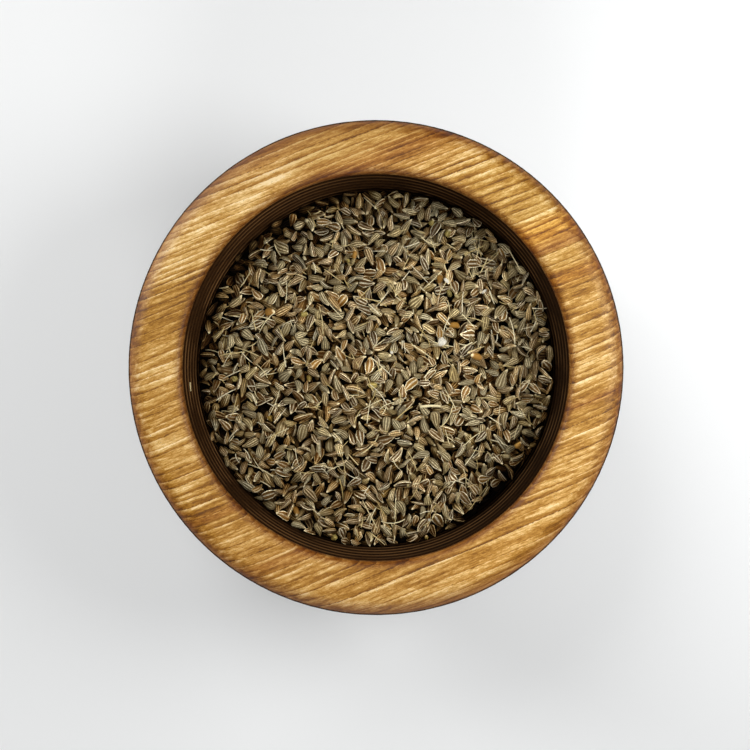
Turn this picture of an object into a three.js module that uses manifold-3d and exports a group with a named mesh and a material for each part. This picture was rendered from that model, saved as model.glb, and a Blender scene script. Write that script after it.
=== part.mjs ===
// A turned wooden bowl with a thick golden rim, filled with aniseed.
// Millimetres, +Z up. The origin is the middle of the bowl's foot, on the surface it stands on.
// Photographed from straight above: +Y is up in the picture and +X is right.
import * as THREE from "three";
import { mergeVertices } from "three/addons/utils/BufferGeometryUtils.js";
import Module from "manifold-3d";

// The bowl
const rimRadius = 60; // widest, just below the rim
const bowlHeight = 52;
const openingRadius = 46.6; // where the wall starts below the rim's inner edge
const footRadius = 37;
const footChamfer = 0.8;
const lowerBend = { radius: 51, height: 5 }; // the side leaves the foot towards this point
const upperBendHeight = 21; // and comes up to its widest from this height
const widestHeight = 47.5;
const outerEdgeWidth = 5.5; // the rim's outer edge is rounded, wider than it is high
const innerEdgeRound = 1.6;
const bowlSegments = 48;
const sideSteps = 8;
const outerEdgeSteps = 5;
const innerEdgeSteps = 3;

// The hollow inside, below the rim's inner edge
const wallLean = 0.061; // inwards per millimetre down, 3.5 degrees
const wallFoot = 24; // height where the wall turns into the floor
const hollowFloor = 10;
const hollowFloorRadius = 27;
const hollowCurvePoints = 3;

// The rings that the turning tool left in the wall
const ringPitch = 2.9;
const ringDepth = 0.55;
const ringCount = 7;
const firstRing = 0.8; // its crest's depth below the rim's inner edge

// The aniseed: its top is a low dome that falls short of the wall on one side
const heapEdgeHeight = 36.2;
const domeRise = 3.6;
const wallGap = 0.35; // between the seeds' core and the bowl
const coreRings = 9;
const coreLumpHeight = 1.5;
const coreLumpShift = 0.9;
const dip = { angle: -0.81, halfAngle: 0.25, width: 4.5, depth: 8 };

// The seeds that show as whole ones
const seedCount = 250;
const seedLength = { least: 3.5, most: 5.0 };
const seedWidth = { least: 1.9, most: 2.6 };
const seedThickness = 0.82; // of its width
const seedTaper = 0.35; // how much narrower the pointed end is
const seedRise = { least: 0.1, most: 0.35 }; // of its width, its middle above the core
const seedTilt = 0.45; // radians, at most
const seedSpreadRadius = 42.2;
const seedJitter = 1.1;
const goldenAngle = Math.PI * (3 - Math.sqrt(5));

const materials = {
  wood: new THREE.MeshStandardMaterial({ color: "#c8974f", roughness: 0.5, metalness: 0 }),
  aniseed: new THREE.MeshStandardMaterial({ color: "#7d6c4a", roughness: 0.85, metalness: 0 }),
};

// Numbers from 0 to 1 that are the same each time.
function seededNumbers(seed) {
  let state = seed;
  return () => {
    state = (Math.imul(state, 1664525) + 1013904223) >>> 0;
    return state / 2 ** 32;
  };
}

function between(range, share) {
  return THREE.MathUtils.lerp(range.least, range.most, share);
}

// The wall's radius without its rings.
function wallRadius(height) {
  const wallTop = bowlHeight - innerEdgeRound;
  return openingRadius - wallLean * (wallTop - height);
}

// The curve from the wall's foot to the flat middle of the floor, held off the bowl's own by a gap.
function hollowCurve(gap) {
  const start = new THREE.Vector2(wallRadius(wallFoot) - gap, wallFoot);
  const corner = new THREE.Vector2(wallRadius(hollowFloor) - gap, hollowFloor + gap);
  const end = new THREE.Vector2(hollowFloorRadius, hollowFloor + gap);
  return new THREE.QuadraticBezierCurve(start, corner, end).getPoints(hollowCurvePoints);
}

// A quarter of an ellipse in the (radius, height) plane, between two angles.
function edgeArc(centreRadius, centreHeight, across, up, from, to, steps) {
  return Array.from({ length: steps + 1 }, (_, i) => {
    const angle = THREE.MathUtils.lerp(from, to, i / steps);
    return new THREE.Vector2(
      centreRadius + across * Math.cos(angle),
      centreHeight + up * Math.sin(angle),
    );
  });
}

function bowlProfile() {
  const foot = [
    new THREE.Vector2(0, 0),
    new THREE.Vector2(footRadius, 0),
    new THREE.Vector2(footRadius + footChamfer, footChamfer),
  ];
  const side = new THREE.CubicBezierCurve(
    foot[2],
    new THREE.Vector2(lowerBend.radius, lowerBend.height),
    new THREE.Vector2(rimRadius, upperBendHeight),
    new THREE.Vector2(rimRadius, widestHeight),
  ).getPoints(sideSteps);
  const outerEdge = edgeArc(
    rimRadius - outerEdgeWidth, widestHeight, outerEdgeWidth, bowlHeight - widestHeight,
    0, Math.PI / 2, outerEdgeSteps,
  );
  const innerEdge = edgeArc(
    openingRadius + innerEdgeRound, bowlHeight - innerEdgeRound, innerEdgeRound, innerEdgeRound,
    Math.PI / 2, Math.PI, innerEdgeSteps,
  );
  const rings = [];
  for (let i = 0; i < ringCount; i++) {
    const crest = bowlHeight - innerEdgeRound - firstRing - i * ringPitch;
    const groove = crest - ringPitch / 2;
    rings.push(
      new THREE.Vector2(wallRadius(crest), crest),
      new THREE.Vector2(wallRadius(groove) + ringDepth, groove),
    );
  }
  const hollow = [...hollowCurve(0), new THREE.Vector2(0, hollowFloor)];
  return [...foot.slice(0, 2), ...side, ...outerEdge.slice(1), ...innerEdge, ...rings, ...hollow];
}

function makeBowl() {
  const bowl = new THREE.Mesh(new THREE.LatheGeometry(bowlProfile(), bowlSegments), materials.wood);
  bowl.name = "bowl";
  bowl.rotation.x = Math.PI / 2;
  return bowl;
}

// Height of the aniseed's top without its lumps.
function heapHeight(x, y) {
  const edge = wallRadius(heapEdgeHeight);
  const radius = Math.min(edge, Math.hypot(x, y));
  const along = (Math.atan2(y, x) - dip.angle) / dip.halfAngle;
  const inward = (edge - radius) / dip.width;
  const dome = domeRise * (1 - (radius / edge) ** 2);
  return heapEdgeHeight + dome - dip.depth * Math.exp(-(along ** 2) - inward ** 2);
}

// The core under the seeds: a disc of rings with 6, 12, 18 ... lumps on top, and below it the bowl's hollow.
function makeCore(random) {
  const corners = [];
  const faces = [];
  const spread = wallRadius(heapEdgeHeight - dip.depth) - wallGap;
  const spacing = spread / coreRings;
  const start = (ring) => (ring === 0 ? 0 : 1 + 3 * ring * (ring - 1));
  const member = (ring, place) => start(ring) + (ring === 0 ? 0 : place % (6 * ring));

  corners.push([0, 0, heapHeight(0, 0)]);
  for (let ring = 1; ring <= coreRings; ring++) {
    const rim = ring === coreRings;
    for (let place = 0; place < 6 * ring; place++) {
      const angle = (place * Math.PI) / (3 * ring);
      const shift = rim ? 0 : coreLumpShift;
      const x = ring * spacing * Math.cos(angle) + shift * (random() - 0.5);
      const y = ring * spacing * Math.sin(angle) + shift * (random() - 0.5);
      corners.push([x, y, heapHeight(x, y) + coreLumpHeight * (random() - 0.5) - (rim ? coreLumpHeight : 0)]);
    }
  }
  for (let ring = 0; ring < coreRings; ring++) {
    for (let side = 0; side < 6; side++) {
      for (let step = 0; step <= ring; step++) {
        const inner = side * ring + step;
        const outer = side * (ring + 1) + step;
        faces.push([member(ring, inner), member(ring + 1, outer), member(ring + 1, outer + 1)]);
        if (step < ring) {
          faces.push([member(ring, inner), member(ring + 1, outer + 1), member(ring, inner + 1)]);
        }
      }
    }
  }

  const around = 6 * coreRings;
  let above = start(coreRings);
  for (const level of hollowCurve(wallGap)) {
    const below = corners.length;
    for (let place = 0; place < around; place++) {
      const angle = (place * 2 * Math.PI) / around;
      corners.push([level.x * Math.cos(angle), level.x * Math.sin(angle), level.y]);
    }
    for (let place = 0; place < around; place++) {
      const next = (place + 1) % around;
      faces.push([above + place, below + place, below + next], [above + place, below + next, above + next]);
    }
    above = below;
  }
  const middle = corners.length;
  corners.push([0, 0, hollowFloor + wallGap]);
  for (let place = 0; place < around; place++) {
    faces.push([above + place, middle, above + ((place + 1) % around)]);
  }

  const geometry = new THREE.BufferGeometry();
  geometry.setAttribute("position", new THREE.Float32BufferAttribute(corners.flat(), 3));
  geometry.setIndex(faces.flat());
  return geometry;
}

// One aniseed with few sides: an egg that narrows towards +X, where it was joined to its stalk.
function seedShape(length, width) {
  const geometry = new THREE.IcosahedronGeometry(1, 0);
  const corner = new THREE.Vector3();
  const position = geometry.getAttribute("position");
  for (let i = 0; i < position.count; i++) {
    corner.fromBufferAttribute(position, i);
    const narrowing = 1 - seedTaper * corner.x;
    position.setXYZ(
      i,
      (corner.x * length) / 2,
      (corner.y * width * narrowing) / 2,
      (corner.z * width * seedThickness * narrowing) / 2,
    );
  }
  return geometry;
}

// The seeds are spread evenly over the heap like those of a sunflower, each lying its own way.
function makeSeeds(random) {
  const seeds = [];
  for (let i = 0; i < seedCount; i++) {
    const length = between(seedLength, random());
    const width = between(seedWidth, random());
    const radius = seedSpreadRadius * Math.sqrt((i + 0.5) / seedCount);
    const angle = i * goldenAngle;
    const x = radius * Math.cos(angle) + seedJitter * (random() - 0.5);
    const y = radius * Math.sin(angle) + seedJitter * (random() - 0.5);
    const lie = new THREE.Euler(
      Math.PI * random(),
      seedTilt * (2 * random() - 1),
      2 * Math.PI * random(),
      "ZYX",
    );
    const place = new THREE.Matrix4().makeRotationFromEuler(lie);
    place.setPosition(x, y, heapHeight(x, y) + width * between(seedRise, random()));
    seeds.push(seedShape(length, width).applyMatrix4(place));
  }
  return seeds;
}

function toSolid(wasm, geometry) {
  const plain = geometry.clone();
  plain.deleteAttribute("normal");
  plain.deleteAttribute("uv");
  const merged = mergeVertices(plain, 1e-4);
  return new wasm.Manifold(new wasm.Mesh({
    numProp: 3,
    vertProperties: new Float32Array(merged.getAttribute("position").array),
    triVerts: new Uint32Array(merged.index.array),
  }));
}

function toGeometry(solid) {
  const mesh = solid.getMesh();
  const geometry = new THREE.BufferGeometry();
  geometry.setAttribute("position", new THREE.BufferAttribute(mesh.vertProperties, 3));
  geometry.setIndex(new THREE.BufferAttribute(mesh.triVerts, 1));
  geometry.computeVertexNormals();
  return geometry;
}

// The core and its seeds as one solid. A seed that hangs clear of it is left out.
function makeHeap(wasm) {
  const random = seededNumbers(20);
  const core = toSolid(wasm, makeCore(random));
  const seeds = makeSeeds(random).map((seed) => toSolid(wasm, seed));
  const joined = wasm.Manifold.union([core, ...seeds]);
  const whole = joined.decompose().reduce((most, piece) => (piece.volume() > most.volume() ? piece : most));
  const heap = new THREE.Mesh(toGeometry(whole), materials.aniseed);
  heap.name = "aniseed";
  return heap;
}

const wasm = await Module();
wasm.setup();

const part = new THREE.Group();
part.add(makeBowl(), makeHeap(wasm));

export default part;
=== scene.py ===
import math

import bmesh
import bpy
import numpy as np
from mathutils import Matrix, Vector, noise


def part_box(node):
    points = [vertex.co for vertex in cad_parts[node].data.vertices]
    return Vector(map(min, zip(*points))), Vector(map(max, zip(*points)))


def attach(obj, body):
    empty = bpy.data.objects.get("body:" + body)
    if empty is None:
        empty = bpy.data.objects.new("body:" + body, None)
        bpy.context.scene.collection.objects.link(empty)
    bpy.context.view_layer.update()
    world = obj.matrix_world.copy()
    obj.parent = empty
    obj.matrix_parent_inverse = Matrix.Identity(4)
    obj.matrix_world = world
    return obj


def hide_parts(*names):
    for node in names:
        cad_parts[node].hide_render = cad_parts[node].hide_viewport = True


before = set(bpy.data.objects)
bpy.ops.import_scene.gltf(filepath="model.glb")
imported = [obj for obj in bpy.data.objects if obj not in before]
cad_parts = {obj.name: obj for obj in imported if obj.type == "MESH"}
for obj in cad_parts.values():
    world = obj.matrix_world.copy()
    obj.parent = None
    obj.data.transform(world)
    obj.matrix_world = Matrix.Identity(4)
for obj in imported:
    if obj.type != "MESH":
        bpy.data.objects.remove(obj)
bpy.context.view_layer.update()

mm = 0.001
rng = np.random.default_rng(11)


def fromHex(code):
    # sRGB hex to the linear numbers that the shaders work in
    values = [int(code[i:i + 2], 16) / 255 for i in (1, 3, 5)]
    linear = [v / 12.92 if v <= 0.04045 else ((v + 0.055) / 1.055) ** 2.4 for v in values]
    return (*linear, 1.0)


def addNode(tree, kind, settings=None, links=None):
    # settings and links go by a socket's name or number; other settings are the node's own options
    node = tree.nodes.new(kind)
    for name, value in (settings or {}).items():
        if isinstance(name, int) or name in node.inputs:
            node.inputs[name].default_value = value
        else:
            setattr(node, name, value)
    for name, source in (links or {}).items():
        tree.links.new(source, node.inputs[name])
    return node


def newMaterial(name):
    material = bpy.data.materials.new(name)
    material.use_nodes = True
    material.node_tree.nodes.clear()
    return material, material.node_tree


def setRamp(node, stops):
    # stops are (place, hex colour)
    elements = node.color_ramp.elements
    while len(elements) < len(stops):
        elements.new(0.5)
    for element, (place, code) in zip(elements, stops):
        element.position = place
        element.color = fromHex(code)


def addPiece(name, mesh, material, node):
    piece = bpy.data.objects.new(name, mesh)
    bpy.context.scene.collection.objects.link(piece)
    mesh.materials.append(material)
    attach(piece, "root")
    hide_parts(node)
    triangles = sum(len(face.vertices) - 2 for face in mesh.polygons)
    print(f"{name}: {len(mesh.vertices)} vertices, {triangles} triangles")


def setAttribute(mesh, name, values):
    attribute = mesh.attributes.new(name, "FLOAT", "POINT")
    attribute.data.foreach_set("value", np.asarray(values, np.float32))


camera = {
    "lens": 52.3,  # on the usual 36 mm sensor
    "above": 260 * mm,  # over the rim
    "offset": (-0.24 * mm, -1.8 * mm),  # the bowl stands a little above the picture's middle
}


def addCamera():
    data = bpy.data.cameras.new("camera")
    data.lens = camera["lens"]
    data.clip_start = 0.01
    data.clip_end = 10
    view = bpy.data.objects.new("camera", data)
    view.location = (*camera["offset"], bowl["height"] + camera["above"])
    bpy.context.scene.collection.objects.link(view)
    bpy.context.scene.camera = view
    print("camera looks straight down")


bowl = {
    "height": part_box("bowl")[1].z,
    "rimRadius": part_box("bowl")[1].x,
    "openingRadius": 46.6 * mm,
    "footRadius": 37 * mm,
    "footChamfer": 0.8 * mm,
    "lowerBend": (51 * mm, 5 * mm),
    "upperBendHeight": 21 * mm,
    "widestHeight": 47.5 * mm,
    "outerEdgeWidth": 5.5 * mm,
    "innerEdgeRound": 1.6 * mm,
    "wallLean": 0.061,
    "wallFoot": 24 * mm,
    "hollowFloor": 10 * mm,
    "hollowFloorRadius": 27 * mm,
    "ringPitch": 2.9 * mm,  # of the turning tool's rings
    "ringDepth": 0.55 * mm,
    "ringCount": 7,
    "firstRing": 0.8 * mm,  # its crest's depth below the rim's inner edge
    "segments": 600,
}


def wallRadius(height):
    wallTop = bowl["height"] - bowl["innerEdgeRound"]
    return bowl["openingRadius"] - bowl["wallLean"] * (wallTop - height)


def bezier(points, steps):
    # a curve through Bernstein's polynomials, without its first point
    t = np.linspace(0, 1, steps + 1)[1:, None]
    degree = len(points) - 1
    weights = [math.comb(degree, k) * t ** k * (1 - t) ** (degree - k) for k in range(degree + 1)]
    return sum(w * np.array(p) for w, p in zip(weights, points))


def edgeArc(centre, across, up, start, end, steps):
    angle = np.linspace(start, end, steps + 1)
    return np.column_stack([centre[0] + across * np.cos(angle), centre[1] + up * np.sin(angle)])


def bowlProfile():
    # (radius, height) from the foot's middle, round the rim, to the hollow's middle
    top, widest = bowl["height"], bowl["widestHeight"]
    foot = np.linspace((0, 0), (bowl["footRadius"], 0), 12)
    chamfer = (bowl["footRadius"] + bowl["footChamfer"], bowl["footChamfer"])
    upper = (bowl["rimRadius"], bowl["upperBendHeight"])
    side = bezier([chamfer, bowl["lowerBend"], upper, (bowl["rimRadius"], widest)], 30)
    edge, rounding = bowl["outerEdgeWidth"], bowl["innerEdgeRound"]
    outer = edgeArc((bowl["rimRadius"] - edge, widest), edge, top - widest, 0, math.pi / 2, 16)[1:]
    innerCentre = (bowl["openingRadius"] + rounding, top - rounding)
    flat = np.linspace(outer[-1], (innerCentre[0], top), 14)[1:-1]
    inner = edgeArc(innerCentre, rounding, rounding, math.pi / 2, math.pi, 7)
    # each ring is a hollow that the tool cut between two thin crests
    steps = 8
    depth = np.arange(bowl["ringCount"] * steps + 1) / steps
    height = top - rounding - bowl["firstRing"] - depth * bowl["ringPitch"]
    scallop = np.sin(math.pi * (depth % 1)) ** 0.7
    wall = np.column_stack([wallRadius(height) + bowl["ringDepth"] * scallop, height])
    below = np.linspace(wall[-1], (wallRadius(bowl["wallFoot"]), bowl["wallFoot"]), 4)[1:]
    corner = (wallRadius(bowl["hollowFloor"]), bowl["hollowFloor"])
    curve = bezier([below[-1], corner, (bowl["hollowFloorRadius"], bowl["hollowFloor"])], 8)
    floor = np.linspace(curve[-1], (0, bowl["hollowFloor"]), 8)[1:]
    return np.vstack([foot, chamfer, side, outer, flat, inner, wall, below, curve, floor])


def spunMesh(name, profile, segments):
    bm = bmesh.new()
    verts = [bm.verts.new((r, 0, z)) for r, z in profile]
    edges = [bm.edges.new(pair) for pair in zip(verts, verts[1:])]
    bmesh.ops.spin(bm, geom=verts + edges, cent=(0, 0, 0), axis=(0, 0, 1), dvec=(0, 0, 0),
                   angle=2 * math.pi, steps=segments, use_merge=True, use_duplicate=False)
    bmesh.ops.remove_doubles(bm, verts=bm.verts, dist=1e-6)
    bmesh.ops.recalc_face_normals(bm, faces=bm.faces)
    mesh = bpy.data.meshes.new(name)
    bm.to_mesh(mesh)
    bm.free()
    mesh.shade_smooth()
    return mesh


grain = {
    "angle": math.radians(22),  # of the fibres, anticlockwise from +X
    "ringWidth": 1.75 * mm,  # of a year's growth, on average
    "ringSpread": 0.33,  # good and bad years
    "years": 110,
    "lean": 0.25,  # the rings shift across by this much of the height
    "sway": (1.1 * mm, 45 * mm, 14 * mm),  # how far the rings bend, and over which length and width
    "waver": (0.07 * mm, 9 * mm, 2.5 * mm),
    "ragged": 0.18,  # of a year, how far the fibres blur the rings' edges
    "lateShare": 0.85,  # of a year, after which its late wood is full
    "relief": 0.03 * mm,  # the soft early wood is worn lower than the hard late wood
}


def growYears(co):
    # Years of growth, counted across the fibres. The pith is far off, so the rings are almost flat.
    along = co[:, 0] * math.cos(grain["angle"]) + co[:, 1] * math.sin(grain["angle"])
    across = co[:, 1] * math.cos(grain["angle"]) - co[:, 0] * math.sin(grain["angle"])
    across = across + grain["lean"] * co[:, 2]
    bends = []
    for (reach, length, width), layer in ((grain["sway"], 3.0), (grain["waver"], 8.0)):
        places = [Vector((a / length, b / width, layer)) for a, b in zip(along, across)]
        bends.append(reach * np.array([noise.noise(place) for place in places]))
    across = across + bends[0] + bends[1]
    widths = grain["ringWidth"] * np.exp(rng.normal(0, grain["ringSpread"], grain["years"]))
    edges = np.cumsum(widths) - widths.sum() / 2
    return np.interp(-across, edges, np.arange(len(edges)))


def wearGrain(mesh):
    co = np.empty(len(mesh.vertices) * 3)
    mesh.vertices.foreach_get("co", co)
    co = co.reshape(-1, 3)
    normals = np.empty(len(mesh.vertices) * 3, np.float32)
    mesh.vertex_normals.foreach_get("vector", normals)
    years = growYears(co)
    # early wood lies low and rises to the late wood, which ends in a step
    low = 1 - np.clip((years % 1) / grain["lateShare"], 0, 1) ** 1.5
    radius = np.hypot(co[:, 0], co[:, 1])
    outside = (radius > bowl["openingRadius"] + 0.5 * mm) & (co[:, 2] > 1.5 * mm)
    co -= normals.reshape(-1, 3) * np.where(outside, grain["relief"] * low, 0)[:, None]
    mesh.vertices.foreach_set("co", co.ravel())
    mesh.update()
    setAttribute(mesh, "years", years)


finish = {
    "tones": [(0.0, "#6c4206"), (0.12, "#875608"), (0.24, "#996712"), (0.38, "#b07e2a"), (0.50, "#c49344"),
              (0.63, "#d6ab61"), (0.80, "#f2ce8d"), (0.92, "#fde3b0")],  # from late wood to early
    # what makes the tone lighter or darker, painted sheen among it, and the level that all of it is added to
    "gains": {"lateWood": -0.66, "fibres": 0.95, "paintedSheen": 1.4, "patches": 0.75, "flecks": 0.35},
    "paleGain": 0.26,  # of the early wood in good years
    "toneLevel": -1.21,
    "fleck": "#6c420c",
    "toastedEdge": "#b8996a",
    "stain": [(0.3, "#160b04"), (0.72, "#2f1b08")],
    # the crests' colour: rubbed stain and painted highlight
    "wornAndLitCrest": "#84603a",
    "toastedRadii": [(48.9 * mm, 46.4 * mm), (55.3 * mm, 59.5 * mm)],  # where it starts and where it is full
    "stainedRadii": [(46.8 * mm, 46.05 * mm), (59.0 * mm, 59.65 * mm)],
    "stainedHeights": (49.0 * mm, 47.5 * mm),
    "seep": 1.0 * mm,  # how far the stain runs along the fibres
    # inside, painted light and shade: the wall is drawn lighter on the left and darker on the right, as the
    # lamps light it
    "towardsPaintedShade": (0.97, -0.26, 0.0),
    "paintedLightAndShade": (1.4, 0.56),
    "innerRadius": 46.75 * mm,  # the inner wall lies within it
    "oiledSpecular": 0.45,
    "stainedSpecular": 0.06,
    "dullHeight": 49.6 * mm,  # where the stain ends on the outer edge
}

# how often each pattern changes in a metre, along and across the fibres, its detail and roughness.
# Fibres are 0.05 mm wide and are drawn 0.25 mm wide, which is as fine as the picture shows.
woodPatterns = {
    "fibres": ((800, 3700, 3700), 3.0, 0.65),
    # paintedSheen: long light streaks along the fibres, a sheen painted into the colour
    "paintedSheen": ((100, 980, 980), 4.0, 0.5),
    "flecks": ((2200, 3600, 3600), 1.0, 0.5),
    "patches": ((16, 90, 90), 2.0, 0.5),
}

# tints across the fibres from -62 mm to 62 mm, on the left half of the bowl and on the right
growthTints = {
    "left": [(0.0, "#f8f2e8"), (0.20, "#f4ece0"), (0.225, "#d4b888"), (0.24, "#f4ece0"), (0.34, "#f8f2e8"),
             (0.35, "#dabf90"), (0.37, "#fbf6ee"), (0.84, "#ffffff"), (0.88, "#ffffff"), (0.95, "#e4d8c4")],
    "right": [(0.0, "#fff6e6"), (0.275, "#ffffff"), (0.285, "#dcc49c"), (0.30, "#ffffff"),
              (0.50, "#ffffff"), (0.525, "#f4e0a0"), (0.55, "#fcffff"), (0.579, "#fcfcf6"),
              (0.581, "#c8ac80"), (0.594, "#d6bc8c"), (0.602, "#dec692"), (0.607, "#f2dc98"),
              (0.635, "#f8e4a2"), (0.66, "#fafefa"), (0.76, "#fafaf2"), (0.84, "#f4ecdf"),
              (0.87, "#d0b484"), (0.91, "#dccfac")],
}


def growWood(tree, noises):
    # gives the wood's tone and the late wood, first in full and then as it shows
    years = addNode(tree, "ShaderNodeAttribute", {"attribute_name": "years"}).outputs["Fac"]
    ragged = addNode(tree, "ShaderNodeMath", {"operation": "MULTIPLY_ADD", 1: grain["ragged"],
                     2: -grain["ragged"] / 2}, {0: noises["fibres"]}).outputs[0]
    shifted = addNode(tree, "ShaderNodeMath", {"operation": "ADD"}, {0: years, 1: ragged}).outputs[0]
    year = addNode(tree, "ShaderNodeMath", {"operation": "FRACT"}, {0: shifted}).outputs[0]
    ring = addNode(tree, "ShaderNodeMath", {"operation": "FLOOR"}, {0: shifted}).outputs[0]
    # each year has its own darkness and its own width of late wood
    chance = addNode(tree, "ShaderNodeTexWhiteNoise", {"noise_dimensions": "1D"},
                     {"W": ring}).outputs["Color"]
    chances = addNode(tree, "ShaderNodeSeparateColor", None, {"Color": chance}).outputs
    sharpness = addNode(tree, "ShaderNodeMath", {"operation": "MULTIPLY_ADD", 1: 5.0, 2: 1.8},
                        {0: chances[0]}).outputs[0]
    late = addNode(tree, "ShaderNodeMath", {"operation": "POWER"}, {0: year, 1: sharpness}).outputs[0]
    strength = addNode(tree, "ShaderNodeMath", {"operation": "MULTIPLY_ADD", 1: 0.7, 2: 0.3},
                       {0: chances[1]}).outputs[0]
    broken = addNode(tree, "ShaderNodeMapRange", {"From Min": 0.35, "From Max": 0.62, "To Min": 0.35,
                     "To Max": 1.15}, {"Value": noises["flecks"]}).outputs["Result"]
    dashed = addNode(tree, "ShaderNodeMath", {"operation": "MULTIPLY"},
                     {0: strength, 1: broken}).outputs[0]
    lateWood = addNode(tree, "ShaderNodeMath", {"operation": "MULTIPLY"}, {0: late, 1: dashed}).outputs[0]
    young = addNode(tree, "ShaderNodeMapRange", {"interpolation_type": "SMOOTHSTEP", "From Min": 0.4,
                    "From Max": 0.0}, {"Value": year}).outputs["Result"]
    pale = addNode(tree, "ShaderNodeMath", {"operation": "MULTIPLY"}, {0: young, 1: chances[2]}).outputs[0]
    # light and dark add up, the painted sheen's light streaks among them
    tone = addNode(tree, "ShaderNodeMath", {"operation": "MULTIPLY_ADD", 1: finish["paleGain"],
                   2: finish["toneLevel"]}, {0: pale}).outputs[0]
    parts = {**noises, "lateWood": lateWood}
    for name, gain in finish["gains"].items():
        tone = addNode(tree, "ShaderNodeMath", {"operation": "MULTIPLY_ADD", 1: gain},
                       {0: parts[name], 2: tone}).outputs[0]
    return tone, late, lateWood


def tintGrowth(tree, turned, paintedSheen):
    # a few years grew darker in the whole bowl
    lengths = addNode(tree, "ShaderNodeSeparateXYZ", None, {"Vector": turned}).outputs
    side = addNode(tree, "ShaderNodeMapRange", {"From Min": -4 * mm, "From Max": 4 * mm},
                   {"Value": lengths["X"]}).outputs["Result"]
    waver = addNode(tree, "ShaderNodeMath", {"operation": "MULTIPLY_ADD", 1: 0.8 * mm, 2: -0.4 * mm},
                    {0: paintedSheen}).outputs[0]
    across = addNode(tree, "ShaderNodeMath", {"operation": "ADD"}, {0: lengths["Y"], 1: waver}).outputs[0]
    spot = addNode(tree, "ShaderNodeMapRange", {"From Min": -62 * mm, "From Max": 62 * mm},
                   {"Value": across}).outputs["Result"]
    tints = []
    for half in ("left", "right"):
        tint = addNode(tree, "ShaderNodeValToRGB", None, {"Fac": spot})
        setRamp(tint, growthTints[half])
        tints.append(tint.outputs["Color"])
    return addNode(tree, "ShaderNodeMix", {"data_type": "RGBA"},
                   {0: side, 6: tints[0], 7: tints[1]}).outputs[2]


def stainAndShadeWall(tree, level, height, radius, noises, lateWood):
    stain = addNode(tree, "ShaderNodeValToRGB", None, {"Fac": noises["fibres"]})
    setRamp(stain, finish["stain"])
    grainShows = addNode(tree, "ShaderNodeMapRange", {"From Min": 0.0, "From Max": 0.8, "To Min": 1.25,
                         "To Max": 0.6}, {"Value": lateWood}).outputs["Result"]
    dark = addNode(tree, "ShaderNodeVectorMath", {"operation": "SCALE"},
                   {0: stain.outputs["Color"], "Scale": grainShows}).outputs[0]
    # the crests of the wall's rings are drawn lighter: partly stain rubbed off them, partly a painted
    # highlight where they catch the light
    firstCrest = bowl["height"] - bowl["innerEdgeRound"] - bowl["firstRing"]
    fall = addNode(tree, "ShaderNodeMath", {"operation": "MULTIPLY_ADD", 1: -1 / bowl["ringPitch"],
                   2: firstCrest / bowl["ringPitch"]}, {0: height}).outputs[0]
    fromCrest = addNode(tree, "ShaderNodeMath", {"operation": "PINGPONG", 1: 0.5}, {0: fall}).outputs[0]
    crest = addNode(tree, "ShaderNodeMapRange", {"interpolation_type": "SMOOTHSTEP", "From Min": 0.10,
                    "From Max": 0.02}, {"Value": fromCrest}).outputs["Result"]
    inside = addNode(tree, "ShaderNodeMath", {"operation": "LESS_THAN", 1: finish["innerRadius"]},
                     {0: radius}).outputs[0]
    insideCrests = addNode(tree, "ShaderNodeMath", {"operation": "MULTIPLY"}, {0: crest, 1: inside}).outputs[0]
    amount = addNode(tree, "ShaderNodeMapRange", {"From Min": 0.4, "From Max": 0.65, "To Min": 0.1,
                     "To Max": 0.8}, {"Value": noises["patches"]}).outputs["Result"]
    patchy = addNode(tree, "ShaderNodeMath", {"operation": "MULTIPLY"}, {0: insideCrests, 1: amount}).outputs[0]
    wornAndLit = addNode(tree, "ShaderNodeMix", {"data_type": "RGBA", 7: fromHex(finish["wornAndLitCrest"])},
                   {0: patchy, 6: dark}).outputs[2]
    # painted light and shade: the inner wall is scaled lighter towards the left and darker towards the right
    right = addNode(tree, "ShaderNodeVectorMath", {"operation": "DOT_PRODUCT", 1: finish["towardsPaintedShade"]},
                    {0: level}).outputs["Value"]
    rightInside = addNode(tree, "ShaderNodeMath", {"operation": "MULTIPLY"},
                          {0: right, 1: inside}).outputs[0]
    lightened, full = finish["paintedLightAndShade"]
    paintedLight = addNode(tree, "ShaderNodeMapRange", {"From Min": -46 * mm, "From Max": 46 * mm,
                       "To Min": lightened, "To Max": full}, {"Value": rightInside}).outputs["Result"]
    return addNode(tree, "ShaderNodeVectorMath", {"operation": "SCALE"},
                   {0: wornAndLit, "Scale": paintedLight}).outputs[0]


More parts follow.
